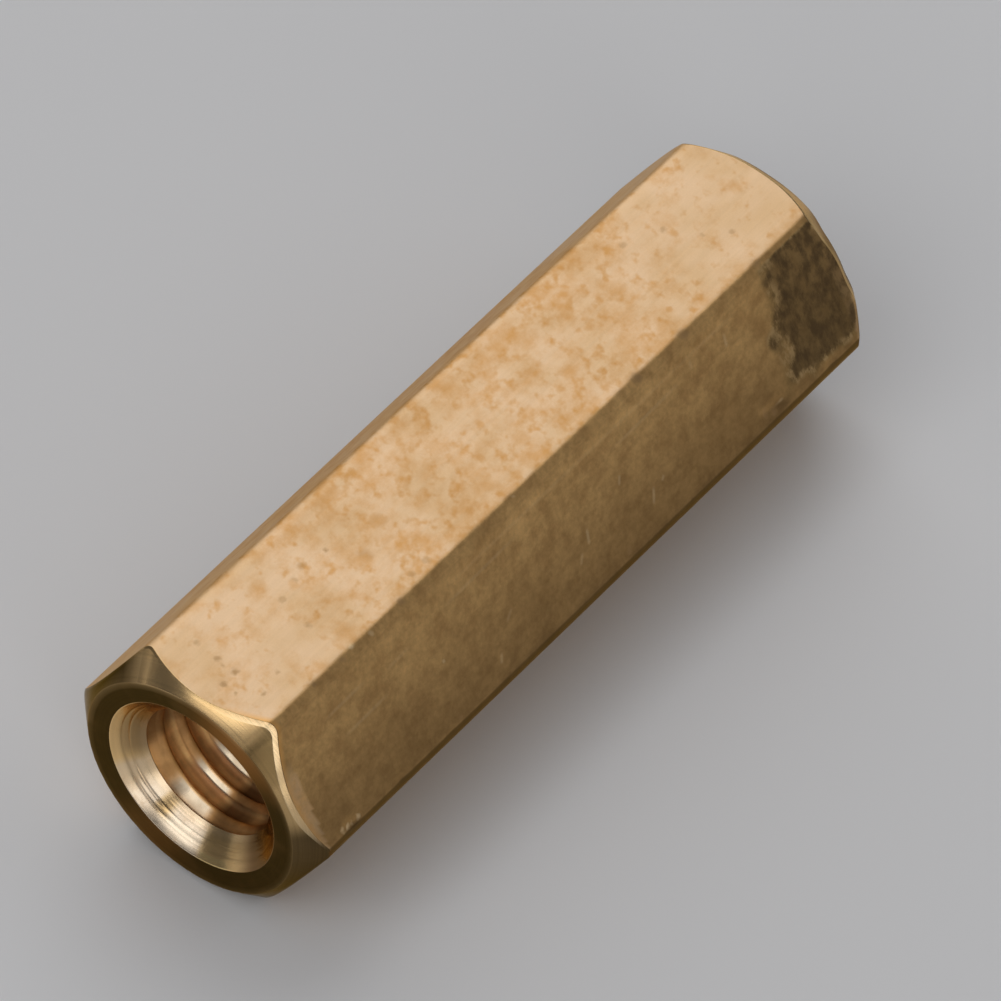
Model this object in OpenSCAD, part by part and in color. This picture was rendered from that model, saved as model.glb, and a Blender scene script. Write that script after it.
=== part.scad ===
// Hex standoff with a tapped hole from end to end: one piece turned from drawn hexagonal bar.
// It lies on one flat. X runs along the bore, the bottom flat is at z = 0,
// and the origin is in the middle of that flat.

/* [Bar] */
// Width of the hexagon across its flats
across_flats = 4.5; // [4.4:0.1:8]
// Length from one end face to the other
body_length = 15; // [5:0.5:50]
// Radius on the six long edges of the drawn bar
edge_radius = 0.25; // [0.05:0.05:0.5]

/* [End chamfers] */
// How far the rim of each end face lies inside the flats
rim_inset = 0.125; // [0.05:0.025:0.2]
// Slope of the end chamfers, measured from the end face
chamfer_angle = 45; // [20:5:60]

/* [Tapped hole] */
// Nominal diameter of the thread
thread_d = 3; // [1.6:0.1:3.4]
// Pitch of the thread
thread_pitch = 0.5; // [0.35:0.05:0.7]
// How far the countersunk mouths reach past the nominal thread radius
mouth_margin = 0.2; // [0.05:0.05:0.3]
// Included angle of the countersunk mouths
mouth_angle = 90; // [60:5:120]

/* [Hidden] */
round_fn = 96;
// Each rounded edge is this many narrow faces, within a thousandth of a millimetre of the arc
edge_steps = 8;
// Cutters run this far past the faces that they cut
over = 0.5;

// Distance from the bore's axis to the centre of each edge's rounding, and to its crown
edge_centre_r = (across_flats - 2 * edge_radius) / sqrt(3);
crown_r = edge_centre_r + edge_radius;

// The chamfer cone starts at the rim and ends outside the edges' crowns
rim_r = across_flats / 2 - rim_inset;
cone_r = crown_r + over;
cone_depth = (cone_r - rim_r) * tan(chamfer_angle);

// The hole is drilled to the size that is tapped, which leaves the thread's crests
bore_r = (thread_d - thread_pitch) / 2;
mouth_r = thread_d / 2 + mouth_margin;
mouth_depth = (mouth_r - bore_r) / tan(mouth_angle / 2);

// Section of the bar: six flats joined by rounded edges, two flats square to local X
module bar_section() {
    polygon([
        for (edge = [30:60:330])
            for (step = [0:edge_steps])
                let (angle = edge - 30 + 60 * step / edge_steps)
                    edge_centre_r * [cos(edge), sin(edge)]
                    + edge_radius * [cos(angle), sin(angle)]
    ]);
}

// Everything inside both chamfer cones, as a spindle along Z
module chamfer_envelope() {
    half = body_length / 2;
    rotate_extrude($fn = round_fn)
        polygon([
            [0, -half],
            [rim_r, -half],
            [cone_r, cone_depth - half],
            [cone_r, half - cone_depth],
            [rim_r, half],
            [0, half]
        ]);
}

// Countersink at one end of the bar, opening towards +Z from the bore to the mouth
module mouth_cut() {
    slope = tan(mouth_angle / 2);
    translate([0, 0, body_length / 2 - mouth_depth])
        cylinder(
            h = mouth_depth + over,
            r1 = bore_r,
            r2 = mouth_r + over * slope,
            $fn = round_fn
        );
}

// The standoff, standing on end about the origin
module upright_body() {
    difference() {
        intersection() {
            linear_extrude(height = body_length, center = true)
                bar_section();
            chamfer_envelope();
        }
        cylinder(h = body_length + 2 * over, r = bore_r, center = true, $fn = round_fn);
        mouth_cut();
        mirror([0, 0, 1])
            mouth_cut();
    }
}

// The standoff as it lies, with its bore along X and a flat on the ground
module standoff_body() {
    color("goldenrod")
        translate([0, 0, across_flats / 2])
            rotate([0, 90, 0])
                upright_body();
}

standoff_body();
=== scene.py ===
import math

import bpy
import numpy as np
from mathutils import Matrix, Quaternion, Vector


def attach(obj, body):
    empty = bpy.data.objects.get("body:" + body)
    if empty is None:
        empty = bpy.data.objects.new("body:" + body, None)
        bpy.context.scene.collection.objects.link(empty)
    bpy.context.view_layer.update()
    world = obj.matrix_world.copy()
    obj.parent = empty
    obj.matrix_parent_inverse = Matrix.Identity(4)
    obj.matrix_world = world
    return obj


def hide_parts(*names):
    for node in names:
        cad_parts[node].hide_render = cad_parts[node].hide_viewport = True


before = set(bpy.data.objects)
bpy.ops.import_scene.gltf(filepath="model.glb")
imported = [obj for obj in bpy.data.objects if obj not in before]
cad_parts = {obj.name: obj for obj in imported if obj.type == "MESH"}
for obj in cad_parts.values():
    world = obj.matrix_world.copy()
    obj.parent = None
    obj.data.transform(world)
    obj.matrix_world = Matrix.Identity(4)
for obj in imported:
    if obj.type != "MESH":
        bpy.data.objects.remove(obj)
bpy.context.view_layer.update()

# ---------- real sizes, in millimetres

ACROSS_FLATS = 4.5
LENGTH = 15.0
EDGE_RADIUS = 0.25
RIM_INSET = 0.125
PITCH = 0.5
BORE_R = 1.25
MOUTH_R = 1.7
# The hole was drilled a little off the bar's axis: +Y and +Z
BORE_OFF_Y = -0.034
BORE_OFF_Z = 0.064
# The lip where the countersink stops: its depth, its land and how much deeper and further out
# its back ends
LIP_DEPTH = 0.42
LIP_LAND = 0.012
LIP_BACK = (0.018, 0.012)

HALF = LENGTH / 2
AXIS_Z = ACROSS_FLATS / 2
RIM_R = ACROSS_FLATS / 2 - RIM_INSET
LIP_R = MOUTH_R - LIP_DEPTH
EDGE_CENTRE_R = (ACROSS_FLATS - 2 * EDGE_RADIUS) / math.sqrt(3)
# A hexagon's side is as long as its corners are far from the middle
FLAT_WIDTH = EDGE_CENTRE_R
# The ends' chamfers and bevels reach no further than this from the end face
END_REACH = 0.44
MM = 0.001

# The two flats in view, by the way they face in degrees from +Y towards +Z
TOP = 90
SIDE = 150

# Small roundings of the corners
RIM_ROUND = 0.035
BEVEL_ROUND = 0.04
MOUTH_ROUND = 0.03
# The countersink's plain cone starts at this depth
MOUTH_END = 0.06
# The chamfer's outer corner is worn to a bevel: its reach down the chamfer, small and large,
# and up the flat for each millimetre of that
BEVEL_SMALL = 0.035
BEVEL_LARGE = 0.08
BEVEL_RATIO = 0.52
# The other end's chamfer was cut this much deeper on the side, and by this share of it on top
FAR_CUT = 0.085
FAR_CUT_SHARE = 0.35

# The ring of the end face changes from the outside's columns to the bore's between these radii
RING_OUTER = 2.00
RING_INNER = 1.8
# Rings down the countersink: their spacing, their gap to the lip and how far each is off the cone
TOOL_STEP = 0.014
LAST_RING = 0.01
TOOL_MARK = 0.0011
# Two deeper tool marks: their depths, how deep they cut and half their width
DEEP_MARKS = (0.14, 0.225)
DEEP_MARK = 0.01
DEEP_MARK_WIDTH = 0.011
# The thread's rows end this far from the middle, just behind the lips
THREAD_END = HALF - 0.45

# One crest of the thread: its distance from the end face at -X, and the angle round the hole
CREST_X = 0.74
CREST_ANGLE = math.radians(285)
# Each crest is worn to a slope towards the -X end: width along the bore, and height
CREST_SLOPE_WIDTH = 0.124
CREST_SLOPE_HEIGHT = 0.086
CREST_ROUND = 0.045
# The rounded crest ends at BORE_R, this share of its radius short of the sharp one
CREST_TRIM = 0.44
SHOULDER_ROUND = 0.09
ROOT_ROUND = 0.1
ROOT_R = 1.42
FLANK = math.tan(math.radians(30))
# In front of the first crest the slope runs on to the lip, and levels out between these
FIRST_SLOPE_BEND = 0.24
FIRST_SLOPE_END = 0.36

BORE_COLUMNS = 112
BORE_ANGLES = np.arange(BORE_COLUMNS) * 2 * math.pi / BORE_COLUMNS
BORE_DEGREES = np.degrees(BORE_ANGLES)
ARC_STEPS = 8
BODY_ROWS = 180
# The share by which the rows along the body are closer together towards its ends
ROW_EASING = 0.3
# Steps round each small rounding of the ends, and strips from the ring to the last of them
ROUND_STEPS = 3
END_STRIPS = 3 * (ROUND_STEPS + 1) - 1
# Steps round each rounding of the thread
THREAD_STEPS = 2
# Steps across each flat: the two in view carry the finest wear
FLAT_STEPS = {30: 10, TOP: 40, SIDE: 46, 210: 10, 270: 8, 330: 8}
# Corners between faces that turn by more than this stay sharp
SHARP_ANGLE = math.radians(40)

# Where wear and dirt lie round the ends, in degrees from +Y towards +Z: stretches by start,
# full, fading and end, and rises by start and end
BEVEL_WORN = (92, 108, 160, 176)
BEVEL_BRIGHT = (94, 122, 166, 178)
BEVEL_DIMMED = (130, 137)
FAR_BEVEL_BRIGHT = (148, 162)
FAR_CHAMFER_HIGHLIGHT = (58, 70, 126, 138)
FAR_CUT_SIDE = (118, 132, 152, 166)
CHAMFER_PAINTED_OLIVE = (115, 122)
CHAMFER_LESS_OLIVE = (132, 146)
CHAMFER_SHADED_LEFT = (67, 47)
CHAMFER_SHADED_RIGHT = (158, 170)
CORNER_SHADED = (120, 126, 138, 144)
# Humps: middle and reach
FAR_CUT_TOP = (92, 22)
RING_HIGHLIGHT_ABOVE = (117, 40)
RING_HIGHLIGHT_BELOW = (292, 34)
MARKS_FAINT = (245, 18)
CORNER_TIP = (118, 8)
# The corner's tip is painted dark from the first radius, fully from the second
CORNER_TIP_R = (2.3, 2.38)

# By the way the outside faces, in degrees: how olive it is, partly as painted shade, how much
# painted brown shade it has, and how painted dark its low edge is
TARNISH_AND_SHADE_BY_FACING = {30: 0.15, TOP: 0, 104: 1, SIDE: 1, 270: 0.8, 330: 0.8, 390: 0.15}
SHADE_BY_FACING = {
    96: 0, 106: 0.3, 134: 0.26, 148: 0, SIDE: 0, 157: 0.95, 210: 0.75, 270: 0.6, 330: 0.5,
}
DARK_EDGE_BY_FACING = {SIDE: 0, 158: 0.8, 184: 0.8, 205: 0}
# How deep the die's step and the stain are
STEP_DEPTH = 0.006
STAIN_DEPTH = 0.01

# Stretches and rises round the hole, most of them for its painted shade, and where the parts of
# cone and thread painted bright as a highlight end
MARKS_DEEP = (293, 302, 15, 60)
MARKS_SHADED = (293, 303, 15, 60)
CONE_BRIGHT = (265, 334)
THREAD_BRIGHT = (273, 306)
CONE_PAINTED_SEAM = (290, 296, 301, 306)
CONE_SHADED_RIGHT = (312, 326)
BORE_SHADED = (15, 62, 218, 246)
BORE_SHADED_ASIDE = (333, 348, 15, 62)
THREAD_UNSHADED = (40, 66, 184, 208)
THREAD_SHADED_FROM = (206, 222)
THREAD_SHADED_TO = (276, 266)
FILM_GROOVES_SHADED = (206, 222, 268, 280)
CRESTS_SHADED = (303, 316, 340, 352)
THREAD_ROUGH = (292, 304)
# The half of a groove that a crest shades, by the distance from that crest; it is painted lighter
# there to make up for the shade
GROOVE_SHADED = (0.02, 0.06, 0.22, 0.3)
# Radii between which the film of oil and dirt in the grooves starts
FILM_R = (1.335, 1.375)

rng = np.random.default_rng(7)


# ---------- shaping functions

def rise(value, start, end):
    """0 before start, 1 after end, smooth between; start may be the larger."""
    t = np.clip((value - start) / (end - start), 0, 1)
    return t * t * (3 - 2 * t)


def hump(value, middle, reach):
    """1 in the middle, 0 at this reach from it and beyond."""
    return rise(np.abs(value - middle), reach, 0)


def stretch(value, start, full, fading, end):
    """0 up to start, 1 from full to fading and 0 again from end on, smooth between."""
    return rise(value, start, full) * rise(value, end, fading)


def through_zero(turn, start, full, fading, end):
    """As stretch, for degrees that rise to 360 and go on from 0."""
    return np.maximum(rise(turn, start, full), rise(turn, end, fading))


def direction(degrees):
    """A unit vector at this angle: across the bar, from +Y towards +Z."""
    return np.array([math.cos(math.radians(degrees)), math.sin(math.radians(degrees))])


def fillet(path, radii, steps):
    """A 2D path with its inner corners rounded to the given radii."""
    path = np.array(path, float)
    points = [path[0]]
    for before, corner, after, radius in zip(path, path[1:], path[2:], radii):
        back = (before - corner) / np.linalg.norm(before - corner)
        ahead = (after - corner) / np.linalg.norm(after - corner)
        half_angle = math.acos(np.clip(back @ ahead, -1, 1)) / 2
        reach = radius / math.tan(half_angle)
        bisector = (back + ahead) / np.linalg.norm(back + ahead)
        centre = corner + bisector * radius / math.sin(half_angle)
        start = corner + back * reach - centre
        end = corner + ahead * reach - centre
        turn = math.acos(np.clip(start @ end / radius ** 2, -1, 1))
        for step in range(steps + 1):
            from_start = math.sin((1 - step / steps) * turn) / math.sin(turn)
            from_end = math.sin(step / steps * turn) / math.sin(turn)
            points.append(centre + start * from_start + end * from_end)
    return np.array(points + [path[-1]])


# ---------- the outside, before wear

def bar_columns():
    """Points round the bar's section, the way each faces, its flat and how far down that it is.

    An edge belongs to the flat before it, and how far down runs on round it.
    """
    points, facings, flats, down = [], [], [], []
    for flat, steps in FLAT_STEPS.items():
        out = direction(flat)
        along = np.array([-out[1], out[0]])
        for step in range(steps):
            offset = (step / steps - 0.5) * FLAT_WIDTH
            points.append(out * ACROSS_FLATS / 2 + along * offset)
            facings.append(flat)
            down.append(offset)
        centre = EDGE_CENTRE_R * direction(flat + 30)
        for step in range(ARC_STEPS):
            turn = 60 * step / ARC_STEPS
            points.append(centre + direction(flat + turn) * EDGE_RADIUS)
            facings.append(flat + turn)
            down.append(FLAT_WIDTH / 2 + EDGE_RADIUS * math.radians(turn))
        flats += [flat] * (steps + ARC_STEPS)
    return np.array(points), np.array(facings), np.array(flats), np.array(down)


def end_profile(radius, bevel, cut):
    """The -X end in section from its ring to the flat, for one reach from the axis."""
    rim_r = RIM_R - cut
    chamfer_x = radius - rim_r - HALF
    bevel_down = bevel / math.sqrt(2)
    path = [
        (-HALF, RING_OUTER), (-HALF, rim_r), (chamfer_x - bevel_down, radius - bevel_down),
        (chamfer_x + BEVEL_RATIO * bevel, radius), (0, radius),
    ]
    return fillet(path, [RIM_ROUND, BEVEL_ROUND, BEVEL_ROUND], ROUND_STEPS)[:-1]


def outside_rows(points):
    """Rows of the outside from one end face to the other: (rows, columns, 3), without wear."""
    reach = np.linalg.norm(points, axis=1)
    radial = points / reach[:, None]
    angle = np.degrees(np.arctan2(points[:, 1], points[:, 0])) % 360
    bevel = BEVEL_SMALL + (BEVEL_LARGE - BEVEL_SMALL) * stretch(angle, *BEVEL_WORN)
    cut = FAR_CUT * (stretch(angle, *FAR_CUT_SIDE) + FAR_CUT_SHARE * hump(angle, *FAR_CUT_TOP))
    even = np.linspace(0, 1, BODY_ROWS + 1)
    eased = 0.5 - 0.5 * np.cos(np.linspace(0, math.pi, BODY_ROWS + 1))
    share = ROW_EASING * eased + (1 - ROW_EASING) * even
    columns = []
    for radius, near_bevel, far_cut in zip(reach, bevel, cut):
        near = end_profile(radius, near_bevel, 0.0)
        far = end_profile(radius, BEVEL_SMALL, far_cut)[::-1] * np.array([-1, 1])
        middle_x = near[-1, 0] + (far[0, 0] - near[-1, 0]) * share[1:-1]
        middle = np.column_stack([middle_x, np.full(len(middle_x), radius)])
        columns.append(np.vstack([near, middle, far]))
    grid = np.array(columns).transpose(1, 0, 2)
    rows = np.empty(grid.shape[:2] + (3,))
    rows[:, :, 0] = grid[:, :, 0]
    rows[:, :, 1:] = grid[:, :, 1:2] * radial
    return rows


class Outside:
    """The outside in rows from end to end, with what its worn places, stains, painted shade and
    painted highlights are placed by.
    """

    def __init__(self):
        points, self.facings, self.flat, self.down = bar_columns()
        self.rows = outside_rows(points)
        self.column_angles = np.arctan2(points[:, 1], points[:, 0]) % (2 * math.pi)
        self.x, self.y, z = self.rows.transpose(2, 0, 1)
        self.radius = np.hypot(self.y, z)
        self.angle = np.degrees(np.arctan2(z, self.y)) % 360
        self.from_face = HALF - np.abs(self.x)
        self.on_side = self.facings == SIDE


# ---------- the hole, before dirt

def thread_profile():
    """One pitch of the internal thread, root to root: distances from the crest, and radii."""
    crest_r = BORE_R - CREST_TRIM * CREST_ROUND
    shoulder_r = BORE_R + CREST_SLOPE_HEIGHT
    near_foot = -CREST_SLOPE_WIDTH - (ROOT_R - shoulder_r) * FLANK
    far_foot = (ROOT_R - crest_r) * FLANK
    middle = (far_foot + near_foot + PITCH) / 2
    path = [
        (middle - PITCH, ROOT_R), (near_foot, ROOT_R), (-CREST_SLOPE_WIDTH, shoulder_r),
        (0, crest_r), (far_foot, ROOT_R), (middle, ROOT_R),
    ]
    radii = [ROOT_ROUND, SHOULDER_ROUND, CREST_ROUND, ROOT_ROUND]
    profile = fillet(path, radii, THREAD_STEPS)[:-1]
    return profile[:, 0], profile[:, 1]


def crest_x(angles):
    """Where one crest of the thread lies along the bore, by the angle round it in radians."""
    return CREST_X - HALF + PITCH * (angles - CREST_ANGLE) / (2 * math.pi)


def before_first_crest(x):
    """How far each point is in front of the thread's first crest, or 0 behind it."""
    crest = crest_x(BORE_ANGLES)
    crest = crest + PITCH * np.ceil((-THREAD_END - crest) / PITCH)
    return np.maximum(crest - x, 0)


def first_groove(before):
    """The first groove's radius in front of its crest: one slope that runs on to the lip."""
    before = np.minimum(before, FIRST_SLOPE_END)
    slope = CREST_SLOPE_HEIGHT / CREST_SLOPE_WIDTH
    past_bend = np.maximum(before - FIRST_SLOPE_BEND, 0)
    return BORE_R + slope * before - slope * past_bend ** 2 / FIRST_SLOPE_BEND


def countersink_rings():
    """Rings from the end face down the countersink: depths and radii, (rings, columns, 2)."""
    mouth = [(0, RING_INNER), (0, MOUTH_R), (MOUTH_END, MOUTH_R - MOUTH_END)]
    mouth = fillet(mouth, [MOUTH_ROUND], ROUND_STEPS)[:-1]
    depths = np.arange(MOUTH_END + TOOL_STEP, LIP_DEPTH - LAST_RING, TOOL_STEP)
    off = TOOL_MARK * rng.uniform(-1, 1, len(depths))
    gaps = [(depths - mark) / DEEP_MARK_WIDTH for mark in DEEP_MARKS]
    marks = sum(DEEP_MARK * np.exp(-gap ** 2) for gap in gaps)
    # The deeper marks fade out part of the way round
    share = through_zero(BORE_DEGREES, *MARKS_DEEP)
    share = np.maximum(share, 0.5 * hump(BORE_DEGREES, *MARKS_FAINT))
    off = off[:, None] + marks[:, None] * (0.15 + 0.85 * share)
    # Marks lie square to the cone, which slopes at 45 degrees
    shift = off / math.sqrt(2)
    wall = np.stack([depths[:, None] + shift, MOUTH_R - depths[:, None] + shift], axis=2)
    lip = [
        (LIP_DEPTH, LIP_R), (LIP_DEPTH + LIP_LAND, LIP_R),
        (LIP_DEPTH + LIP_BACK[0], LIP_R + LIP_BACK[1]),
    ]
    around = np.ones((1, BORE_COLUMNS, 1))
    return np.concatenate([mouth[:, None] * around, wall, np.array(lip)[:, None] * around])


def start_behind_lips(x, r):
    """Moves the row just outside each end of the thread along the profile to where it starts."""
    for outside, step in ((x < -THREAD_END, 1), (x > THREAD_END, -1)):
        edge = outside & ~np.roll(outside, -step, axis=0)
        next_x, next_r = np.roll(x, -step, axis=0), np.roll(r, -step, axis=0)
        share = (-step * THREAD_END - x) / np.where(edge, next_x - x, 1)
        r = np.where(edge, r + (next_r - r) * share, r)
        x = np.where(edge, -step * THREAD_END, x)
    return x, r


def in_bore(x, radius):
    """Points round the hole's own axis, from rows of the bore's columns."""
    y = BORE_OFF_Y + radius * np.cos(BORE_ANGLES)
    return np.stack([x, y, BORE_OFF_Z + radius * np.sin(BORE_ANGLES)], axis=-1)


# ---------- worn places, stains and dirt, painted shade and painted highlights

class Patches:
    """Smooth random patches over a plane, the same at each run."""

    def __init__(self):
        self.lattice = rng.random((64, 64))

    def at(self, u, v):
        i, j = np.floor(u).astype(int), np.floor(v).astype(int)
        a, b = rise(u - i, 0, 1), rise(v - j, 0, 1)
        low, high = (
            self.lattice[i % 64, k % 64] * (1 - a) + self.lattice[(i + 1) % 64, k % 64] * a
            for k in (j, j + 1)
        )
        return low * (1 - b) + high * b


coarse, medium, fine = Patches(), Patches(), Patches()


def on_top(x, y):
    return (x, y, ACROSS_FLATS / 2)


def on_side(x, down):
    """A place on the side flat, this far down it from its middle."""
    out = direction(SIDE)
    y, z = out * ACROSS_FLATS / 2 + np.array([-out[1], out[0]]) * down
    return (x, y, z)


def on_edge(x, facing):
    """A place on the rounded edge between the top and the side, by the way it faces."""
    y, z = EDGE_CENTRE_R * direction((TOP + SIDE) / 2) + EDGE_RADIUS * direction(facing)
    return (x, y, z)


# Dents and nicks: place from the axis, reach along X and across, and depth
DENTS = [
    (on_edge(-5.98, 112), 0.05, 0.07, 0.012), (on_edge(-5.28, 113), 0.06, 0.07, 0.012),
    (on_edge(-3.75, 108), 0.07, 0.08, 0.014), (on_edge(2.46, 108), 0.1, 0.09, 0.018),
    (on_edge(3.7, 110), 0.09, 0.08, 0.014), (on_edge(5.72, 106), 0.08, 0.08, 0.012),
    (on_top(-6.62, 0.12), 0.06, 0.06, 0.01), (on_top(-6.58, -0.12), 0.08, 0.07, 0.012),
    (on_top(-6.9, -0.15), 0.07, 0.06, 0.01), (on_side(-6.47, 1.12), 0.2, 0.09, 0.03),
    (on_side(-5.2, 1.16), 0.12, 0.07, 0.014), (on_side(-3.9, 1.2), 0.15, 0.06, 0.012),
    (on_side(4.86, 1.00), 0.22, 0.11, 0.04), (on_side(4.62, 0.95), 0.12, 0.09, 0.02),
    (on_side(6.3, 1.15), 0.16, 0.1, 0.022),
]


def from_end_edge(x, down):
    """How far a place on a flat is from the edge where the flat meets the end's chamfer."""
    return HALF - (np.hypot(ACROSS_FLATS / 2, down) - RIM_R) - np.abs(x)


def stain_mask(x, down):
    """The dark stain near the +X end of the side flat."""
    wander = 0.5 * (coarse.at(3.1, down * 1.6) - 0.5)
    wander = wander + 0.4 * (medium.at(x * 3.2, down * 3.2) - 0.5)
    edge = 5.6 - 0.22 * down + wander
    off_chamfer = rise(from_end_edge(x, down), 0.03, 0.09)
    lower = rise(down, 1.28 + 0.8 * wander, 0.78 + 0.8 * wander)
    return rise(x, edge - 0.28, edge + 0.32) * off_chamfer * lower


def side_step(x, down):
    """1 below the strip at the side's upper edge that a die left proud, 0 on it and at the ends."""
    wander = 0.03 * (coarse.at(x * 0.9, 9.3) - 0.5)
    return rise(down, -0.99 + wander, -0.93 + wander) * stretch(x, -3.2, -2.2, 4.2, 5.0)


def worn_rows(bar):
    """The outside's rows with worn places, dents and the stain's relief cut into them."""
    depth = np.zeros_like(bar.x)
    for place, reach_x, reach, deep in DENTS:
        gap = (bar.rows - np.array(place)) / np.array([reach_x, reach, reach])
        depth += deep * np.exp(-(gap ** 2).sum(axis=2))
    x, down = bar.x, bar.down
    depth += STEP_DEPTH * side_step(x, down) * bar.on_side
    relief = 0.4 + 0.6 * medium.at(x * 7, down * 7)
    depth += STAIN_DEPTH * stain_mask(x, down) * relief * bar.on_side
    # Handling has rubbed the long edges unevenly
    round_edge = (bar.down - FLAT_WIDTH / 2) / (EDGE_RADIUS * math.radians(60))
    crown = np.sin(np.clip(round_edge, 0, 1) * math.pi)
    rub = np.clip(fine.at(x * 4.5, bar.flat * 0.37) - 0.45, 0, 1)
    depth += crown * (0.002 + 0.016 * rub)
    facings = np.radians(bar.facings)
    rows = bar.rows.copy()
    rows[:, :, 1:] -= np.column_stack([np.cos(facings), np.sin(facings)]) * depth[:, :, None]
    return rows


END, FLAT, BORE = 0, 1, 2
# What the shader reads at each point, by its zone:
#   tarnish_and_shade         flats: pale to olive, the olive side partly painted shade; ends: chamfer painted olive as a dark reflection; hole: painted tan shade outside the painted highlight
#   mottle_and_painted_light  flats: mottled; ends: painted highlights on the painted dark ring;
#       hole: painted lighter where a crest shades the groove
#   stain                     flats: the dark stain; hole: a film of oil and dirt
#   wear_and_highlight        flats and ends: rubbed to bare metal, with painted highlights at the far end; hole: rougher metal
#   painted_shade             everywhere: painted brown shade
#   painted_dark              flats: the low edge painted dark as shade; ends: the flat ring painted dark as a dark reflection
#   fringe                    flats and ends: the gold line outside the bevel
MASKS = ["tarnish_and_shade", "mottle_and_painted_light", "stain", "wear_and_highlight", "painted_shade", "painted_dark", "fringe"]


def by_facing(facings, levels):
    """A level for each way that the outside faces, from the levels for a few."""
    return np.interp(facings, list(levels), list(levels.values()))


def ring_highlight(angle):
    """Painted highlights on the dark ring of the end face, by the angle round it in degrees."""
    return np.maximum(1.05 * hump(angle, *RING_HIGHLIGHT_ABOVE), 0.4 * hump(angle, *RING_HIGHLIGHT_BELOW))


def bare_metal_and_highlights(bar, rubbed):
    """Bare metal on the die's step and the bevels, and painted highlights: on the far bevel at the
    side, and in gold on the far chamfer above.
    """
    step = 0.15 * side_step(bar.x, bar.down) * bar.on_side
    step = step * rise(bar.down, -0.9, -0.96)
    bevel = np.zeros(len(bar.x))
    bevel[END_STRIPS - ROUND_STEPS - 2:END_STRIPS] = (0.8,) + ROUND_STEPS * (1.0,) + (0.5,)
    bevel = np.maximum(bevel, 0.5 * bevel[::-1])[:, None]
    # A painted highlight on the far bevel at the side
    bevel = np.maximum(bevel, 0.8 * bevel[::-1] * rise(bar.angle, *FAR_BEVEL_BRIGHT))
    # A gold painted highlight on the far chamfer above
    far_highlight = 0.5 * stretch(bar.angle, *FAR_CHAMFER_HIGHLIGHT) * (bar.from_face > 0.02)
    far_highlight[:-END_STRIPS] = 0
    return np.maximum(np.maximum(step, far_highlight), bevel * rubbed)


def chamfer_painted_shade(bar):
    """Painted shade on the ends' chamfers away from the top, and a painted dark reflection on the
    corner between top and side of the end at -X.
    """
    left = rise(bar.angle, *CHAMFER_SHADED_LEFT)
    painted_shade = np.clip(0.9 * rise(bar.angle, *CHAMFER_SHADED_RIGHT) + left, 0, 1)
    corner = 0.42 * stretch(bar.angle, *CORNER_SHADED)
    tip = 0.45 * hump(bar.angle, *CORNER_TIP) * rise(bar.radius, *CORNER_TIP_R)
    return np.maximum(painted_shade, np.maximum(corner, tip) * (bar.x < 0))


def flat_painted_shade(bar):
    """Painted shade on the flats: brown towards the edge that they lie on, and along some other
    edges.
    """
    down_side = (0.15 + 0.72 * rise(bar.down, -1.3, 1.5)) * bar.on_side
    below = np.maximum(by_facing(bar.facings, SHADE_BY_FACING), down_side)
    far_edge = rise(from_end_edge(bar.x, bar.down), 0.16, 0.0) * (bar.x > 0)
    far_edge = far_edge * np.isin(bar.flat, (30, TOP))
    back_edge = (bar.facings >= 60) & (bar.facings <= 90)
    back_edge = back_edge * rise(bar.y, 1.12, 1.3)
    return np.maximum(np.maximum(below, 0.75 * far_edge), 0.22 * back_edge)


def outside_masks(bar):
    """The shader's masks at each point of the outside: (rows, columns, masks)."""
    x, facings, angle = bar.x, bar.facings, bar.angle
    ring = rise(bar.radius, RIM_R + 0.02, RIM_R - 0.03) * (bar.from_face < 0.05)
    chamfer = (bar.from_face < END_REACH) * (1 - ring)

    # The chamfer is painted olive as a dark reflection from these angles on, less so further round
    olive = rise(angle, *CHAMFER_PAINTED_OLIVE) * (1 - 0.45 * rise(angle, *CHAMFER_LESS_OLIVE))
    # On the flats the side is olive, partly tarnished and partly painted shade
    tarnish_and_shade = np.where(chamfer > 0, olive, by_facing(facings, TARNISH_AND_SHADE_BY_FACING))
    # The top flat is most mottled over its middle, and hardly near its ends
    mottle_and_painted_light = stretch(x, -6.6, -3.0, 3.2, 6.4)
    mottle_and_painted_light = mottle_and_painted_light + 0.3 * rise(bar.y, 0.7, 1.1) + 0.5 * rise(bar.y, -0.8, -1.2)
    # On the end faces' ring this mask holds the ring's painted highlights
    mottle_and_painted_light = np.where(ring > 0, ring_highlight(angle), mottle_and_painted_light)
    # The stain climbs from its flat onto the rounded edge above
    from_side = bar.flat == SIDE
    climb = np.where(from_side, 1.0, rise(facings, 116, 136) * (facings < SIDE))
    stain = stain_mask(x, np.where(from_side, bar.down, -FLAT_WIDTH / 2)) * climb
    rubbed = stretch(angle, *BEVEL_BRIGHT) * (1 - 0.5 * rise(angle, *BEVEL_DIMMED))
    wear_and_highlight = bare_metal_and_highlights(bar, rubbed)
    painted_shade = np.where(chamfer > 0, chamfer * chamfer_painted_shade(bar), flat_painted_shade(bar))
    # The low edge that the standoff lies beside is painted dark as shade
    dark_edge = by_facing(facings, DARK_EDGE_BY_FACING) * (facings >= SIDE)
    # The flat ring of the end faces is painted dark as a dark reflection, and the low edge as shade
    painted_dark = np.maximum(ring, dark_edge * (bar.from_face > END_REACH))
    # A thin line outside the bevel is a deeper gold
    fringe = np.zeros(len(x))
    fringe[END_STRIPS - 2:END_STRIPS + 3] = (0.2, 0.7, 1.0, 1.0, 0.5)
    return np.stack([tarnish_and_shade, mottle_and_painted_light, stain, wear_and_highlight, painted_shade, painted_dark, fringe[:, None] * rubbed], axis=2)


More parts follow.
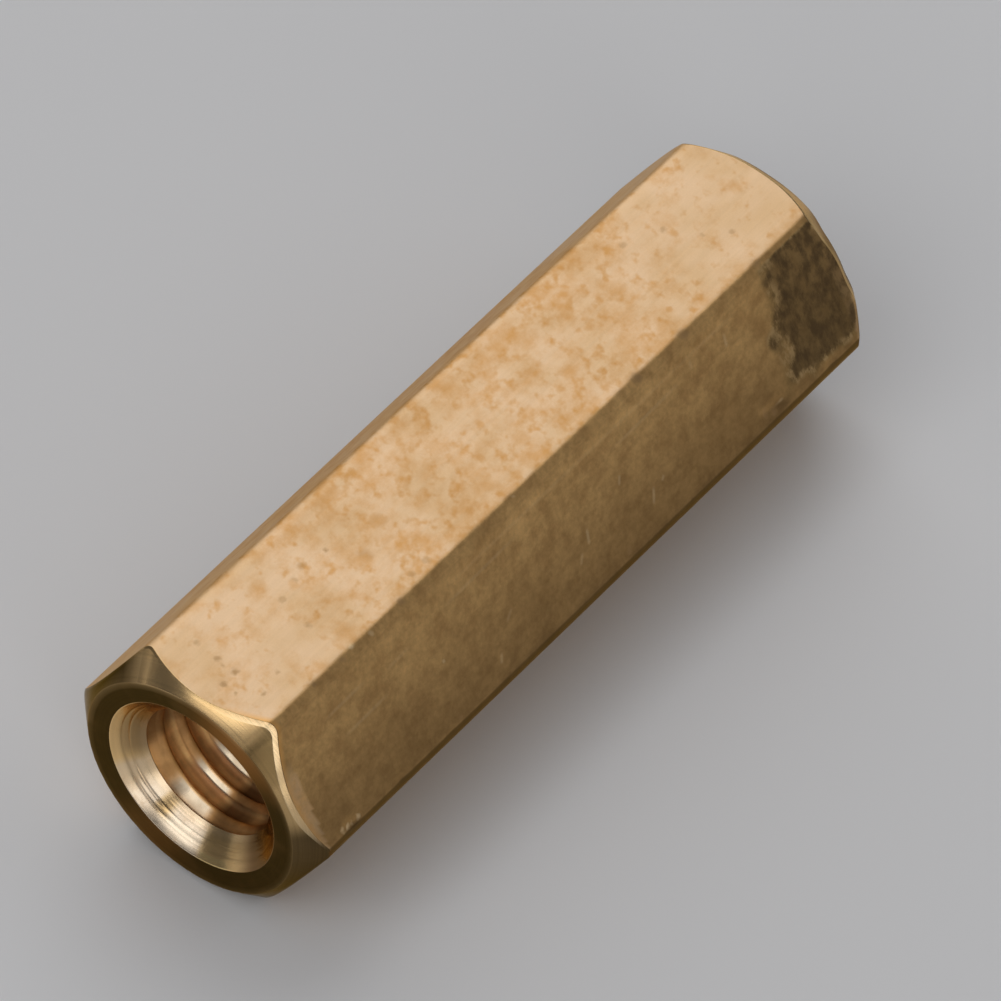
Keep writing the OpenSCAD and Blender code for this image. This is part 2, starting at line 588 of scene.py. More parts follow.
def bore_tarnish_and_shade(turn, depth, in_thread):
    """Where the hole is painted tan as shade: outside the part painted pale as a highlight and, on
    the cone, in a painted dark seam across it and partly to its right.
    """
    left, right = (
        cone + (thread - cone) * in_thread for cone, thread in zip(CONE_BRIGHT, THREAD_BRIGHT)
    )
    aside = np.maximum(rise(turn, left + 3, left - 3), rise(turn, right - 5, right + 7))
    band = 0.95 * stretch(turn, *CONE_PAINTED_SEAM) * rise(depth, 0.06, 0.2)
    band = np.maximum(band, 0.45 * rise(turn, *CONE_SHADED_RIGHT))
    return np.maximum(aside, band * (1 - in_thread))


def cone_painted_shade(turn, depth, in_thread):
    """Painted shade on the wall that faces down and beside the part painted bright, and darker
    round the deep tool marks.
    """
    # In the thread the wall that faces down is left without this painted shade, which lights the
    # grooves opposite
    above = stretch(turn, *BORE_SHADED) * (1 - 0.95 * in_thread * stretch(turn, *THREAD_UNSHADED))
    aside = 0.18 + 0.35 * rise(depth, 0.1, 0.17)
    aside = aside * through_zero(turn, *BORE_SHADED_ASIDE)
    marks = sum(np.exp(-((depth - mark) / 0.018) ** 2) for mark in DEEP_MARKS)
    marks = 0.42 * marks + 0.12 * hump(depth, 0.17, 0.09)
    marks = marks * through_zero(turn, *MARKS_SHADED)
    return np.maximum(np.maximum(above, aside), marks)


def thread_painted_shade(turn, depth, film):
    """Painted shade in the thread, where it lies away from the light and in its first turn, with
    less of it on a small painted highlight.
    """
    away = 0.68 * rise(turn, *THREAD_SHADED_TO) + 0.2 * hump(turn, 262, 9)
    # Less painted shade round 242 degrees, for a faint painted highlight
    away = away * rise(turn, *THREAD_SHADED_FROM) - 0.35 * hump(turn, 242, 9)
    away = away + 0.26 * film * stretch(turn, *FILM_GROOVES_SHADED)
    aside = through_zero(turn, *BORE_SHADED_ASIDE) * rise(turn, 60, 40)
    aside = np.maximum(aside, rise(turn, 333, 348))
    first_turn = rise(depth, 0.7, 0.53) * rise(turn, 312, 300)
    # Between the bright side and the shaded one the crests are painted brown as shade too
    crests = 0.38 * (1 - film) * rise(depth, 0.53, 0.68) * stretch(turn, *CRESTS_SHADED)
    return np.maximum(np.maximum(away, 0.75 * aside), np.maximum(0.5 * first_turn, crests))


def bore_masks(depth, shaded=0.0, film=0.0):
    """The shader's masks in the hole, from rows of its columns.

    Depth is from the end face, shaded is 1 in the half of a groove that the crest before it
    shades, and film is 1 where oil and dirt cover the metal in the grooves.
    """
    turn, depth = np.broadcast_arrays(BORE_DEGREES, depth)
    in_thread = rise(depth, LIP_DEPTH, LIP_DEPTH + 0.02)
    painted_shade = thread_painted_shade(turn, depth, film) * in_thread
    painted_shade = np.maximum(painted_shade, cone_painted_shade(turn, depth, in_thread))
    tarnish_and_shade = bore_tarnish_and_shade(turn, depth, in_thread)
    rough = in_thread * rise(turn, *THREAD_ROUGH)
    none = np.zeros_like(turn)
    return np.stack([tarnish_and_shade, shaded + none, film + none, rough, painted_shade, none, none], axis=-1)


# ---------- mesh

class Builder:
    """Collects vertices, the shader's masks at them, faces and the faces' zones."""

    def __init__(self):
        self.verts = []
        self.masks = []
        self.faces = []
        self.zones = []

    def add(self, points, masks):
        """Adds vertices and returns their numbers."""
        first = sum(map(len, self.verts))
        self.verts.append(points)
        self.masks.append(masks)
        return np.arange(first, first + len(points))

    def face(self, ids, zone):
        """Adds a face, unless it has shrunk to a line, without corners that are the same."""
        ring = [a for a, b in zip(ids, ids[1:] + ids[:1]) if a != b]
        if len(ring) >= 3:
            self.faces.append(ring[::-1])
            self.zones.append(zone)

    def strip(self, lower, upper, zone):
        """Quads between two rows."""
        for corners in zip(lower, lower[1:], upper[1:], upper):
            self.face(corners, zone)

    def band(self, lower, upper, zone):
        """A strip between two closed rows."""
        self.strip(np.append(lower, lower[0]), np.append(upper, upper[0]), zone)

    def bridge(self, ring_a, angles_a, ring_b, angles_b, zone, flip):
        """Triangles between two closed rows with different numbers of points."""
        i = j = 0
        count_a, count_b = len(ring_a), len(ring_b)
        shift = int(np.argmin(np.abs(angles_b - angles_a[0])))
        ring_b = np.roll(ring_b, -shift)
        angles_b = np.roll(angles_b, -shift)
        turn_a = (angles_a - angles_a[0]) % (2 * math.pi)
        turn_b = (angles_b - angles_a[0] + math.pi) % (2 * math.pi) - math.pi
        turn_b[1:] = (angles_b[1:] - angles_a[0]) % (2 * math.pi)
        turn_a = np.append(turn_a, 2 * math.pi)
        turn_b = np.append(turn_b, 2 * math.pi + turn_b[0])
        while i < count_a or j < count_b:
            a, b = ring_a[i % count_a], ring_b[j % count_b]
            if j >= count_b or (i < count_a and turn_a[i + 1] <= turn_b[j + 1]):
                i += 1
                triangle = (a, ring_a[i % count_a], b)
            else:
                j += 1
                triangle = (a, ring_b[j % count_b], b)
            self.face(triangle[::-1] if flip else triangle, zone)


def add_outside(build):
    """Adds the worn outside; returns its first and last rows and its columns' angles."""
    bar = Outside()
    masks = outside_masks(bar)
    rows = [build.add(points, mask) for points, mask in zip(worn_rows(bar), masks)]
    for k, (lower, upper) in enumerate(zip(rows, rows[1:])):
        at_end = k < END_STRIPS or k >= len(rows) - 1 - END_STRIPS
        build.band(upper, lower, END if at_end else FLAT)
    return rows[0], rows[-1], bar.column_angles


def add_countersinks(build):
    """Adds both countersinks; returns the rings of each, from face to lip."""
    near, far = [], []
    for k, (depth, radius) in enumerate(countersink_rings().transpose(0, 2, 1)):
        masks = bore_masks(depth)
        # The first two rings are still in the face's flat ring, painted dark with its painted
        # highlights
        if k < 2:
            masks[:, MASKS.index("painted_dark")] = 1.0
            masks[:, MASKS.index("mottle_and_painted_light")] = ring_highlight(BORE_DEGREES)
        near.append(build.add(in_bore(depth - HALF, radius), masks))
        far.append(build.add(in_bore(HALF - depth, radius), masks))
    for k, (ring, deeper) in enumerate(zip(near, near[1:])):
        build.band(ring, deeper, END if k < 1 else BORE)
    for k, (ring, deeper) in enumerate(zip(far, far[1:])):
        build.band(deeper, ring, END if k < 1 else BORE)
    return near, far


def add_thread(build, near_lip, far_lip):
    """Adds the threaded hole from lip to lip, in rows that follow the thread's helix."""
    offsets, radii = thread_profile()
    per_turn = len(offsets)
    # Turns past each end leave no gap where the helix runs out
    turns = range(-int(LENGTH / PITCH / 2) - 3, int(LENGTH / PITCH / 2) + 4)
    base = crest_x(0.0) - PITCH * round(crest_x(0.0) / PITCH)
    row_x = np.array([base + PITCH * turn + offset for turn in turns for offset in offsets])
    row_r = np.tile(radii, len(turns))
    row_shaded = np.tile(stretch(offsets % PITCH, *GROOVE_SHADED), len(turns))
    x = row_x[:, None] + PITCH * BORE_ANGLES / (2 * math.pi)
    x, r = start_behind_lips(x, np.broadcast_to(row_r[:, None], x.shape))
    before = before_first_crest(x)
    r = np.where(before > CREST_SLOPE_WIDTH, first_groove(before), r)
    film = rise(r, *FILM_R) * (before <= 0)
    points = in_bore(x, r)
    masks = bore_masks(HALF - np.abs(x), row_shaded[:, None], film)
    # Rows past a lip shrink to that lip's own points
    inside = np.abs(x) <= THREAD_END
    ids = np.where(x <= -THREAD_END, near_lip, far_lip)
    ids[inside] = build.add(points[inside], masks[inside])
    # After a whole turn a row meets the one a pitch further on
    closing = np.append(ids[per_turn:, 0], np.full(per_turn, far_lip[0]))
    ids = np.column_stack([ids, closing])
    for row, next_row in zip(ids, ids[1:]):
        build.strip(row, next_row, BORE)


def build_standoff():
    """The whole standoff as one closed mesh, in millimetres, with the bar's axis at z = 0."""
    build = Builder()
    first, last, angles = add_outside(build)
    near, far = add_countersinks(build)
    build.bridge(first, angles, near[0], BORE_ANGLES, END, False)
    build.bridge(last, angles, far[0], BORE_ANGLES, END, True)
    add_thread(build, near[-1], far[-1])
    return build


def new_object(name, data):
    made = bpy.data.objects.new(name, data)
    bpy.context.scene.collection.objects.link(made)
    return made


def make_piece(name, build):
    """A Blender object on the floor from what the builder holds, in metres."""
    verts = np.vstack(build.verts)
    verts[:, 2] += AXIS_Z
    faces = [[int(i) for i in face] for face in build.faces]
    mesh = bpy.data.meshes.new(name)
    mesh.from_pydata((verts * MM).tolist(), [], faces)
    mesh.validate()
    mesh.update()
    mesh.polygons.foreach_set("material_index", np.array(build.zones, dtype=np.int32))
    mesh.polygons.foreach_set("use_smooth", np.ones(len(faces), dtype=bool))
    mesh.set_sharp_from_angle(angle=SHARP_ANGLE)
    for mask, levels in zip(MASKS, np.vstack(build.masks).T):
        layer = mesh.attributes.new(mask, "FLOAT", "POINT")
        layer.data.foreach_set("value", levels.astype(np.float32))
    return new_object(name, mesh)


# ---------- colours and marks

EDGE_TINT = (0.85, 0.68, 0.45, 1)
BARE_BRASS = (0.9, 0.67, 0.385)
FRINGE_GOLD = (0.86, 0.46, 0.145)
# The flats
PALE_BRASS = (0.78, 0.545, 0.335)
WARM_PALE = (0.78, 0.53, 0.295)
ORANGE_BRASS = (0.65, 0.345, 0.12)
OLIVE_BRASS = (0.8, 0.49, 0.195)
BROWN_BRASS = (0.28, 0.165, 0.065)
WARM_SIDE = (0.66, 0.355, 0.13)
SPOT_BROWN = (0.46, 0.28, 0.13)
DARK_STAIN = (0.15, 0.096, 0.047)
STAIN_EDGE = (0.27, 0.19, 0.075)
STAIN_CRUST = (0.62, 0.42, 0.2)
PAINTED_DARK_EDGE = (0.12, 0.07, 0.025)
# The end faces and their chamfers
GOLD_BRASS = (0.86, 0.585, 0.28)
# Painted olive dark reflection on the chamfers
CHAMFER_OLIVE_REFLECTION = (0.3, 0.2, 0.085)
# The flat ring of the end faces is painted this dark brown as a dark reflection; the chamfers'
# painted shade uses it too
PAINTED_SHADE_BROWN = (0.062, 0.039, 0.016)
WARM_SHADE_BROWN = (0.13, 0.075, 0.03)
# Painted highlights on the dark ring
RING_PAINTED_HIGHLIGHT = (0.33, 0.15, 0.048)
# The countersinks
# Painted pale as a highlight where the light falls on the cone; the tan is its painted shade
CONE_HIGHLIGHT_BRASS = (0.95, 0.78, 0.58)
TAN_BRASS = (0.98, 0.66, 0.3)
DEEP_CONE = (0.92, 0.66, 0.38)
CONE_SHADE_BROWN = (0.24, 0.145, 0.075)
# The thread
# Painted pale as a highlight where the light falls on the thread; the brown is its painted shade
THREAD_HIGHLIGHT_BRASS = (0.69, 0.565, 0.405)
BROWN_THREAD = (0.86, 0.48, 0.19)
# The crests painted orange like the coloured fringe of their highlights
CREST_PAINTED_FRINGE = (0.86, 0.47, 0.16)
NEAR_FLANK = (0.55, 0.26, 0.1)
TAN_FLANK = (0.98, 0.59, 0.23)
# Painted lighter in the shaded half of each groove
GROOVE_PAINTED_LIGHT = (0.95, 0.54, 0.2)
THREAD_SHADE_BROWN = (0.2, 0.098, 0.035)

# The marks on top lie at this angle to the bar
STROKE_ANGLE = math.radians(-42)
# A spot's ragged edge wanders by up to this much
SPOT_WANDER = 0.022
# Spacing of tool marks on the end faces and in the hole, and of the countersink's bands
FACE_RINGS = 0.05
BORE_RINGS = 0.06
CONE_BANDS = 0.13

# Single spots on the top flat: X, Y, radius and strength
SPOTS = [
    (-6.57, 0.26, 0.05, 0.7), (-6.62, 0.12, 0.045, 0.8), (-6.58, -0.12, 0.07, 0.9),
    (-6.9, -0.15, 0.055, 0.8), (-6.92, -0.4, 0.04, 0.6), (-6.65, -0.74, 0.05, 0.7),
    (-6.15, -0.65, 0.05, 0.5), (-6.54, 0.73, 0.06, 0.5), (-5.11, -0.41, 0.06, 0.5),
    (-4.2, 0.43, 0.07, 0.5), (-4.5, 0.33, 0.06, 0.45), (-4.95, 0.23, 0.06, 0.45),
    (-3.7, 0.35, 0.04, 0.9), (-2.66, 0.09, 0.14, 0.4), (-3.37, -0.2, 0.12, 0.4),
    (-2.81, -1.01, 0.07, 0.5), (-3.2, -1.03, 0.06, 0.5), (4.57, 0.69, 0.06, 0.5),
    (5.27, 0.39, 0.06, 0.5), (5.61, -0.18, 0.05, 0.5), (5.99, -0.52, 0.05, 0.5),
]
# Wider, softer orange spots there
ORANGE_SPOTS = [
    (1.83, -0.33, 0.14, 0.7), (1.46, -0.45, 0.08, 0.6), (1.4, 0.15, 0.12, 0.6),
    (-0.01, 0.09, 0.07, 0.6), (-0.56, -0.33, 0.1, 0.7), (-2.67, 0.09, 0.16, 0.6),
    (-3.45, -0.28, 0.13, 0.6), (3.08, 0.79, 0.09, 0.8), (3.97, -0.74, 0.06, 0.7),
    (1.95, -0.98, 0.09, 0.6), (-0.48, -0.98, 0.1, 0.6), (-2.13, 1.05, 0.07, 0.6),
    (-4.6, 0.3, 0.09, 0.5), (5.33, 0.22, 0.08, 0.6),
]
# Dark and bright nicks along the edge between top and side, and low on the side; the bright spots
# low on the side near -X are painted highlights
EDGE_DARK = [
    (*on_edge(-5.98, 112), 0.05, 0.6), (*on_edge(-5.28, 113), 0.06, 0.6),
    (*on_edge(-3.75, 108), 0.07, 0.7), (*on_edge(2.46, 110), 0.1, 0.8),
    (*on_edge(3.7, 112), 0.09, 0.7), (*on_edge(5.72, 108), 0.08, 0.6),
    (*on_side(4.62, 0.96), 0.09, 0.6), (*on_side(4.8, 1.04), 0.07, 0.5),
    (*on_side(-3.62, 1.1), 0.06, 0.4), (*on_side(0.85, 1.04), 0.06, 0.35),
]
EDGE_BRIGHT = [
    (*on_edge(-4.98, 103), 0.05, 0.7), (*on_edge(-4.56, 118), 0.04, 0.4),
    (*on_edge(-0.82, 112), 0.04, 0.4),
    # Painted highlights low on the side near -X
    (*on_side(-6.67, 1.09), 0.055, 0.5), (*on_side(-6.55, 1.11), 0.045, 0.6),
    (*on_side(-6.43, 1.1), 0.04, 0.45), (*on_side(-6.3, 1.11), 0.05, 0.5),
]
# Light scratches on the side: X, how far down, length, turn in degrees and strength
SCRATCHES = [
    (0.2, 0.26, 0.34, 74, 0.34), (1.25, -0.12, 0.22, 60, 0.3), (4.42, -0.68, 0.3, 80, 0.32),
    (1.78, 0.58, 0.36, 64, 0.32), (2.1, 0.45, 0.14, 40, 0.26), (-3.49, 0.06, 0.08, 10, 0.45),
    (-2.4, 0.82, 0.22, 62, 0.26), (-0.1, 0.5, 0.26, 52, 0.2), (3.55, -0.8, 0.2, 84, 0.2),
    (-5.6, -0.72, 1.2, 1, 0.18), (-5.3, -0.22, 1.3, 1, 0.16), (-4.3, -0.6, 0.7, 2, 0.12),
    (-2.1, -0.72, 2.2, 1, 0.15), (2.3, -0.68, 2.2, 1, 0.16), (-1.9, 0.3, 0.3, 35, 0.16),
    (4.96, 0.99, 0.3, 6, 0.4),
]
# A scratch fades out over this distance to its side, from a core this wide
SCRATCH_FADE = 0.05
SCRATCH_CORE = 0.004


# ---------- materials

class Shader:
    """A material's node tree, with short names for the nodes that the materials share."""

    def __init__(self, name):
        self.material = bpy.data.materials.new(name)
        self.material.use_nodes = True
        self.tree = self.material.node_tree
        self.tree.nodes.clear()

    def node(self, kind, inputs=None, **settings):
        made = self.tree.nodes.new("ShaderNode" + kind)
        for key, value in settings.items():
            setattr(made, key, value)
        for key, value in (inputs or {}).items():
            if isinstance(value, bpy.types.NodeSocket):
                self.tree.links.new(value, made.inputs[key])
            elif value is not None:
                made.inputs[key].default_value = value
        return made

    def vector(self, operation, inputs):
        return self.node("VectorMath", inputs, operation=operation).outputs

    def place(self):
        """Where a point is on the object, in millimetres."""
        where = self.node("TexCoord").outputs["Object"]
        return self.vector("SCALE", {0: where, 3: 1 / MM})[0]

    def mask(self, name):
        return self.node("Attribute", attribute_name=name).outputs["Fac"]

    def maths(self, operation, a, b=0.0):
        return self.node("Math", {0: a, 1: b}, operation=operation).outputs[0]

    def add(self, a, b):
        return self.maths("ADD", a, b)

    def times(self, a, b):
        return self.maths("MULTIPLY", a, b)

    def larger(self, a, b):
        return self.maths("MAXIMUM", a, b)

    def stretched(self, place, scale):
        """A place with its X, Y and Z scaled."""
        return self.vector("MULTIPLY", {0: place, 1: scale})[0]

    def strokes(self, place, along):
        """A place turned to the way that the marks on top lie, and scaled along them."""
        turned = self.node("VectorRotate", {"Vector": place, "Angle": STROKE_ANGLE},
                           rotation_type="Z_AXIS").outputs[0]
        return self.stretched(turned, (along, 1.0, 1.0))

    def noise(self, place, scale, detail=2.0, roughness=0.5):
        """Noise from 0 to 1 whose largest patches are about 1 / scale millimetres wide."""
        return self.node("TexNoise", {
            "Vector": place, "Scale": scale, "Detail": detail, "Roughness": roughness,
        }).outputs["Fac"]

    def span(self, value, low, high, to_low=0.0, to_high=1.0):
        """A value's range from low to high mapped on to another, smooth at both ends."""
        return self.node("MapRange", {
            "Value": value, "From Min": low, "From Max": high, "To Min": to_low, "To Max": to_high,
        }, interpolation_type="SMOOTHSTEP").outputs[0]

    def mix(self, factor, a, b):
        """Two colours mixed; each is a socket or three numbers."""
        a, b = ((*value, 1) if isinstance(value, tuple) else value for value in (a, b))
        return self.node("Mix", {0: factor, 6: a, 7: b}, data_type="RGBA").outputs[2]

    def shade(self, colour, level):
        """A colour made darker or lighter by a level near 1."""
        return self.vector("SCALE", {0: colour, 3: level})[0]

    def relief(self, height, metres, before=None):
        """Bumps as high as this distance, on top of those before."""
        inputs = {"Height": height, "Distance": metres, "Normal": before}
        return self.node("Bump", inputs).outputs[0]

    def surface(self, inputs):
        """The finished material, from the main shader's inputs."""
        shader = self.node("BsdfPrincipled", inputs)
        self.node("OutputMaterial", {"Surface": shader.outputs[0]})
        return self.material

    def brass(self, colour, roughness, normal, metallic=1.0):
        return self.surface({
            "Base Color": colour, "Metallic": metallic, "Roughness": roughness, "Normal": normal,
            "Specular Tint": EDGE_TINT,
        })


def from_floor(x, y, z=ACROSS_FLATS / 2):
    """A place from the axis, or on the top flat, as the shader sees it from the floor."""
    return (x, y, z + AXIS_Z)


def spot_mask(s, place, ragged, marks):
    """How much spots with ragged edges show."""
    wander = s.span(ragged, 0.3, 0.7, -SPOT_WANDER, SPOT_WANDER)
    spots = None
    for *centre, radius, strength in marks:
        gap = s.vector("DISTANCE", {0: place, 1: from_floor(*centre)})["Value"]
        spot = s.span(s.add(gap, wander), radius * 1.5, radius * 0.2, 0.0, strength)
        spots = spot if spots is None else s.larger(spots, spot)
    return spots


def scratch_mask(s, place):
    """How much the scratches on the side show."""
    lines = None
    for x, down, length, turn, strength in SCRATCHES:
        level, up = direction(turn)
        along = (level, *direction(SIDE - 90) * up)
        offset = s.vector("SUBTRACT", {0: place, 1: from_floor(*on_side(x, down))})[0]
        run = s.vector("DOT_PRODUCT", {0: offset, 1: along})["Value"]
        gap = s.vector("LENGTH", {0: offset})["Value"]
        square = s.maths("SUBTRACT", s.times(gap, gap), s.times(run, run))
        aside = s.maths("SQRT", s.larger(square, 0.0))
        core = s.span(aside, SCRATCH_FADE, SCRATCH_CORE, 0.0, strength)
        line = s.times(core, s.span(s.maths("ABSOLUTE", run), length / 2, length / 5))
        lines = line if lines is None else s.larger(lines, line)
    return lines


def top_colour(s, place, clouds, blotches, ragged):
    """The pale top flat, mottled with orange and with brown and orange spots."""
    specks = s.noise(s.strokes(place, 0.85), 5.2)
    level = s.times(s.mask("mottle_and_painted_light"), 0.1)
    colour = s.mix(s.span(clouds, 0.35, 0.65), PALE_BRASS, WARM_PALE)
    colour = s.mix(s.span(s.add(blotches, level), 0.44, 0.9, 0.0, 0.85), colour, ORANGE_BRASS)
    colour = s.mix(s.span(s.add(specks, level), 0.57, 0.88, 0.0, 0.95), colour, ORANGE_BRASS)
    colour = s.mix(spot_mask(s, place, ragged, SPOTS), colour, SPOT_BROWN)
    return s.mix(spot_mask(s, place, ragged, ORANGE_SPOTS), colour, ORANGE_BRASS)


def side_colour(s, place, clouds, blotches):
    """The other flats: olive, with warmer and browner patches, and the side's scratches."""
    patches = s.noise(s.strokes(place, 0.8), 3.6, 3.0, 0.6)
    flecks = s.noise(place, 11.0, 3.0, 0.6)
    colour = s.mix(s.span(clouds, 0.3, 0.7, 0.0, 0.22), OLIVE_BRASS, BROWN_BRASS)
    colour = s.mix(s.times(s.span(blotches, 0.45, 0.75), 0.15), colour, BROWN_BRASS)
    colour = s.mix(s.span(patches, 0.4, 0.7, 0.0, 0.4), colour, WARM_SIDE)
    # Painted brown shade on the flats
    colour = s.mix(s.mask("painted_shade"), colour, BROWN_BRASS)
    colour = s.shade(colour, s.span(flecks, 0.25, 0.75, 0.91, 1.09))
    colour = s.shade(colour, s.span(patches, 0.25, 0.75, 1.13, 0.87))
    return s.mix(scratch_mask(s, place), colour, BARE_BRASS)


def stained(s, place, runs, colour):
    """A colour with the dark stain over it, and how dark the stain is."""
    mask = s.mask("stain")
    torn = s.add(mask, s.times(s.noise(place, 4.5, 4.0, 0.65), 0.7))
    dark = s.times(s.span(torn, 0.57, 1.17), s.span(runs, 0.34, 0.64, 1.0, 0.5))
    colour = s.mix(s.span(torn, 0.4, 0.9, 0.0, 0.4), colour, STAIN_EDGE)
    colour = s.mix(dark, colour, DARK_STAIN)
    rim = s.times(s.span(mask, 0.05, 0.45), s.span(mask, 0.98, 0.55))
    crust = s.times(rim, s.span(runs, 0.47, 0.62, 0.0, 0.65))
    return s.mix(crust, colour, STAIN_CRUST), dark


def drawn_brass():
    """The flats: drawn and handled, pale and mottled on top, browner on the sides, partly as
    painted shade.
    """
    s = Shader("drawn_brass")
    place = s.place()
    clouds = s.noise(place, 0.9, 3.0)
    blotches = s.noise(s.strokes(place, 0.88), 2.3, 5.0, 0.6)
    ragged = s.noise(place, 9.0, 1.0)
    grain = s.noise(place, 38.0)
    brush = s.noise(s.stretched(place, (0.25, 13.0, 13.0)), 1.0, 3.0)
    runs = s.noise(s.stretched(place, (1.0, 0.6, 0.6)), 5.0, 5.0, 0.65)

    top = top_colour(s, place, clouds, blotches, ragged)
    # The side flats painted darker than the top, partly as shade
    colour = s.mix(s.mask("tarnish_and_shade"), top, side_colour(s, place, clouds, blotches))
    streaks = s.times(s.span(brush, 0.3, 0.7, 0.98, 1.02), s.span(grain, 0.25, 0.75, 0.98, 1.02))
    colour, stain = stained(s, place, runs, s.shade(colour, streaks))
    colour = s.mix(spot_mask(s, place, ragged, EDGE_DARK), colour, SPOT_BROWN)
    # The low edge painted dark as shade
    colour = s.mix(s.mask("painted_dark"), colour, PAINTED_DARK_EDGE)
    # Bright nicks, with painted highlights low on the side
    colour = s.mix(spot_mask(s, place, ragged, EDGE_BRIGHT), colour, BARE_BRASS)
    colour = s.mix(s.mask("wear_and_highlight"), colour, BARE_BRASS)
    colour = s.mix(s.mask("fringe"), colour, FRINGE_GOLD)

    roughness = s.add(s.span(clouds, 0.3, 0.7, 0.33, 0.43), s.times(stain, 0.2))
    normal = s.relief(brush, 5e-7)
    normal = s.relief(grain, 2.5e-7, normal)
    normal = s.relief(s.times(s.mask("stain"), runs), 1.5e-5, normal)
    return s.brass(colour, roughness, normal)


def reach_from(s, place, y, z):
    """Distance from an axis along X through y and z, and the place along it, in millimetres."""
    parts = s.node("SeparateXYZ", {0: place}).outputs
    across = s.maths("SUBTRACT", parts["Y"], y)
    up = s.maths("SUBTRACT", parts["Z"], z)
    return s.maths("SQRT", s.add(s.times(across, across), s.times(up, up))), parts["X"]


def turning_rings(s, reach, along, spacing):
    """Noise in rings round the axis, as a turning tool leaves it."""
    return s.node("TexNoise", {
        "W": s.add(reach, s.times(along, 0.6)), "Scale": 1 / spacing, "Detail": 2.0,
    }, noise_dimensions="1D").outputs["Fac"]


def turned_brass():
    """The end faces and their chamfers: turned, with the flat ring painted dark brown as a dark
    reflection and painted highlights on it.
    """
    s = Shader("turned_brass")
    place = s.place()
    rings = turning_rings(s, *reach_from(s, place, 0.0, AXIS_Z), FACE_RINGS)
    clouds = s.noise(place, 2.2, 4.0, 0.6)
    chamfer = s.mix(s.span(clouds, 0.4, 0.75, 0.0, 0.4), GOLD_BRASS, OLIVE_BRASS)
    # The chamfer painted olive as a dark reflection
    chamfer = s.mix(s.mask("tarnish_and_shade"), chamfer, CHAMFER_OLIVE_REFLECTION)
    # Painted shade on the chamfers
    chamfer = s.mix(s.mask("painted_shade"), chamfer, PAINTED_SHADE_BROWN)
    # The flat ring is painted dark brown as a dark reflection, warmer in patches
    warm = s.span(s.noise(place, 1.6, 3.0), 0.45, 0.75, 0.0, 0.6)
    ring = s.mix(warm, PAINTED_SHADE_BROWN, WARM_SHADE_BROWN)
    # Painted highlights on the ring
    ring = s.mix(s.mask("mottle_and_painted_light"), ring, RING_PAINTED_HIGHLIGHT)
    colour = s.mix(s.mask("painted_dark"), chamfer, ring)
    colour = s.mix(s.mask("wear_and_highlight"), colour, BARE_BRASS)
    colour = s.mix(s.mask("fringe"), colour, FRINGE_GOLD)
    colour = s.shade(colour, s.span(rings, 0.3, 0.7, 0.92, 1.08))
    roughness = s.add(s.span(clouds, 0.3, 0.7, 0.2, 0.26), s.times(s.mask("painted_dark"), 0.18))
    return s.brass(colour, roughness, s.relief(rings, 5e-7))


def tapped_brass():
    """The countersinks and the thread: painted pale as a highlight where the light falls, painted
    tan and brown as shade away from it.
    """
    s = Shader("tapped_brass")
    place = s.place()
    reach, along = reach_from(s, place, BORE_OFF_Y, AXIS_Z + BORE_OFF_Z)
    depth = s.maths("SUBTRACT", HALF, s.maths("ABSOLUTE", along))
    past_lip = s.span(depth, LIP_DEPTH, LIP_DEPTH + 0.02)
    rings = turning_rings(s, reach, along, BORE_RINGS)
    bands = s.span(turning_rings(s, reach, along, CONE_BANDS), 0.35, 0.65, 0.78, 1.12)
    clouds = s.noise(place, 3.0, 4.0, 0.6)
    tarnish_and_shade = s.mask("tarnish_and_shade")
    painted_shade = s.mask("painted_shade")
    film = s.mask("stain")
    crest = s.span(reach, 1.29, BORE_R)

    # Cone and thread are painted pale as a highlight, and tan or brown as shade
    cone = s.mix(tarnish_and_shade, CONE_HIGHLIGHT_BRASS, TAN_BRASS)
    cone = s.mix(s.span(depth, 0.26, 0.42, 0.0, 0.55), cone, DEEP_CONE)
    # Painted brown shade on the cone
    cone = s.mix(painted_shade, cone, CONE_SHADE_BROWN)
    cone = s.mix(tarnish_and_shade, cone, s.shade(cone, bands))
    thread = s.mix(tarnish_and_shade, THREAD_HIGHLIGHT_BRASS, BROWN_THREAD)
    # The crests painted orange like the coloured fringe of their highlights
    thread = s.mix(crest, thread, CREST_PAINTED_FRINGE)
    thread = s.mix(film, thread, s.mix(tarnish_and_shade, NEAR_FLANK, TAN_FLANK))
    # The half of each groove that a crest shades is painted lighter, standing in for light
    thread = s.mix(s.mask("mottle_and_painted_light"), thread, GROOVE_PAINTED_LIGHT)
    # Painted brown shade in the thread
    thread = s.mix(painted_shade, thread, THREAD_SHADE_BROWN)
    thread = s.shade(thread, s.span(clouds, 0.3, 0.7, 1.14, 0.86))
    colour = s.mix(s.span(depth, LIP_DEPTH - 0.01, LIP_DEPTH + 0.11), cone, thread)
    colour = s.mix(s.span(clouds, 0.5, 0.8, 0.0, 0.35), colour, ORANGE_BRASS)
    colour = s.shade(colour, s.span(rings, 0.3, 0.7, 0.9, 1.06))

    matt = s.larger(s.larger(tarnish_and_shade, s.mask("wear_and_highlight")), s.larger(film, s.times(crest, 0.6)))
    matt = s.times(s.times(matt, past_lip), 0.28)
    roughness = s.add(s.span(clouds, 0.3, 0.7, 0.17, 0.26), matt)
    # The film in the grooves hides most of the metal's own shine
    metallic = s.span(film, 0.0, 1.0, 1.0, 0.3)
    return s.brass(colour, roughness, s.relief(rings, 1.0e-6), metallic)


# ---------- the piece

standoff = make_piece("brass_standoff", build_standoff())
# In the order of the zones END, FLAT and BORE
for material in (turned_brass(), drawn_brass(), tapped_brass()):
    standoff.data.materials.append(material)
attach(standoff, "root")
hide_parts("standoff_body")

# ---------- floor, light and camera, in metres

